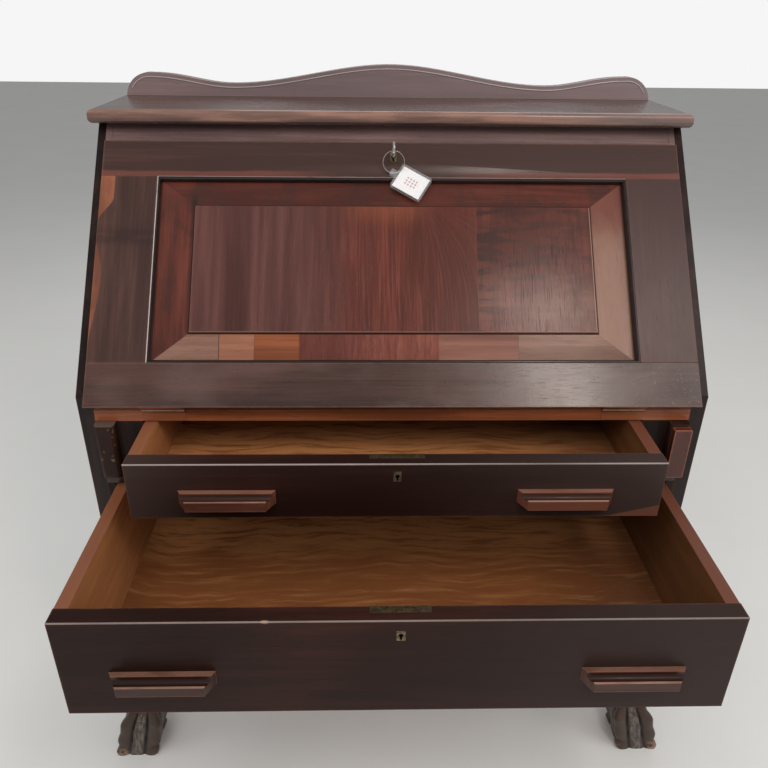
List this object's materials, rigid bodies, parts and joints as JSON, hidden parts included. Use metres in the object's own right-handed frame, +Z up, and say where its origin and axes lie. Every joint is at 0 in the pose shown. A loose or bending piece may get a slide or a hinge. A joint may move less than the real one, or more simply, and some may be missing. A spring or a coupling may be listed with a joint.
{
  "type": "escritoire",
  "caption": "Fall-front writing bureau in dark polished wood with a fielded sloping fall, drawers, pull-out lopers and cabriole legs on carved claw feet.",
  "frame": {"origin": "On the floor, at the middle of the footprint with the drawers as pictured.", "axes": "+Z up, the front with the drawers towards -Y, the writer's right hand towards +X."},
  "size_m": [1.0008, 0.766, 1.1352],
  "materials": {
    "polished_wood": "dark polished mahogany",
    "pull_wood": "redder polished mahogany",
    "lining_wood": "plain unpolished lining wood",
    "brass": "tarnished brass",
    "steel": "worn bright steel",
    "clear_plastic": "clear, scuffed",
    "card": "plain printed card"
  },
  "bodies": {
    "case": {"back_panel": "lining_wood", "bottom_board": "lining_wood", "bottom_rail": "polished_wood", "desk_board": "polished_wood", "desk_hinge_leaves": "brass", "drawer_guides": "lining_wood", "drawer_rail": "polished_wood", "drawer_runners": "lining_wood", "fascia_rail": "polished_wood", "gallery": "polished_wood", "hinge_pins": "brass", "leg_back_left": "polished_wood", "leg_back_right": "polished_wood", "leg_front_left": "polished_wood", "leg_front_right": "polished_wood", "lower_stiles": "polished_wood", "partition_left": "lining_wood", "partition_right": "lining_wood", "pigeonhole_dividers": "lining_wood", "pigeonhole_shelf": "lining_wood", "pigeonhole_top": "lining_wood", "side_left": "polished_wood", "side_right": "polished_wood", "stile_left": "polished_wood", "stile_right": "polished_wood", "top_board": "polished_wood"},
    "fall": {"fall_hinge_leaves": "brass", "fall_keyhole_plate": "brass", "fall_lock": "brass", "fall_panel": "polished_wood", "fall_rail_bottom": "polished_wood", "fall_rail_top": "polished_wood", "fall_stile_left": "polished_wood", "fall_stile_right": "polished_wood"},
    "fall_bolt": {"fall_bolt": "brass"},
    "key": {"key": "steel"},
    "fob": {"key_ring": "steel", "key_fob": "clear_plastic", "fob_card": "card"},
    "loper_left": {"loper_left": "lining_wood"},
    "loper_right": {"loper_right": "lining_wood", "loper_facing": "pull_wood"},
    "top_drawer": {"top_drawer_back": "lining_wood", "top_drawer_bottom": "lining_wood", "top_drawer_front": "polished_wood", "top_drawer_keyhole_plate": "brass", "top_drawer_lock": "brass", "top_drawer_pulls": "pull_wood", "top_drawer_side_left": "lining_wood", "top_drawer_side_right": "lining_wood"},
    "top_drawer_bolt": {"top_drawer_bolt": "brass"},
    "lower_drawer": {"lower_drawer_back": "lining_wood", "lower_drawer_bottom": "lining_wood", "lower_drawer_front": "polished_wood", "lower_drawer_keyhole_plate": "brass", "lower_drawer_lock": "brass", "lower_drawer_pulls": "pull_wood", "lower_drawer_side_left": "lining_wood", "lower_drawer_side_right": "lining_wood"},
    "lower_drawer_bolt": {"lower_drawer_bolt": "brass"}
  },
  "joints": [
    {"name": "fall_hinge", "type": "hinge", "parent": "case", "child": "fall", "pos_m": [0, -0.0795, 0.705], "axis": [1, 0, 0], "range_deg": [0, 130]},
    {"name": "key_turn", "type": "hinge", "parent": "fall", "child": "key", "pos_m": [0, 0.16029, 1.01877], "axis": [0, 0.766, -0.6428], "range_deg": [0, 90]},
    {"name": "fall_bolt_slide", "type": "slide", "parent": "fall", "child": "fall_bolt", "axis": [0, 0.6428, 0.766], "range_m": [0, 0.007]},
    {"name": "fob_swing", "type": "hinge", "parent": "key", "child": "fob", "pos_m": [0, 0.14344, 1.03292], "axis": [0, 0.766, -0.6428], "range_deg": [-20, 40]},
    {"name": "top_drawer_slide", "type": "slide", "parent": "case", "child": "top_drawer", "axis": [0, -1, 0], "range_m": [-0.112, 0.138]},
    {"name": "top_drawer_bolt_slide", "type": "slide", "parent": "top_drawer", "child": "top_drawer_bolt", "axis": [0, 0, -1], "range_m": [-0.007, 0]},
    {"name": "lower_drawer_slide", "type": "slide", "parent": "case", "child": "lower_drawer", "axis": [0, -1, 0], "range_m": [-0.284, 0.04]},
    {"name": "lower_drawer_bolt_slide", "type": "slide", "parent": "lower_drawer", "child": "lower_drawer_bolt", "axis": [0, 0, -1], "range_m": [-0.007, 0]},
    {"name": "loper_left_slide", "type": "slide", "parent": "case", "child": "loper_left", "axis": [0, -1, 0], "range_m": [-0.014, 0.22]},
    {"name": "loper_right_slide", "type": "slide", "parent": "case", "child": "loper_right", "axis": [0, -1, 0], "range_m": [-0.025, 0.22]}
  ],
  "couplings": [
    {"joint": "fall_bolt_slide", "follows": "key_turn", "m_per_rad": 0.004456}
  ]
}
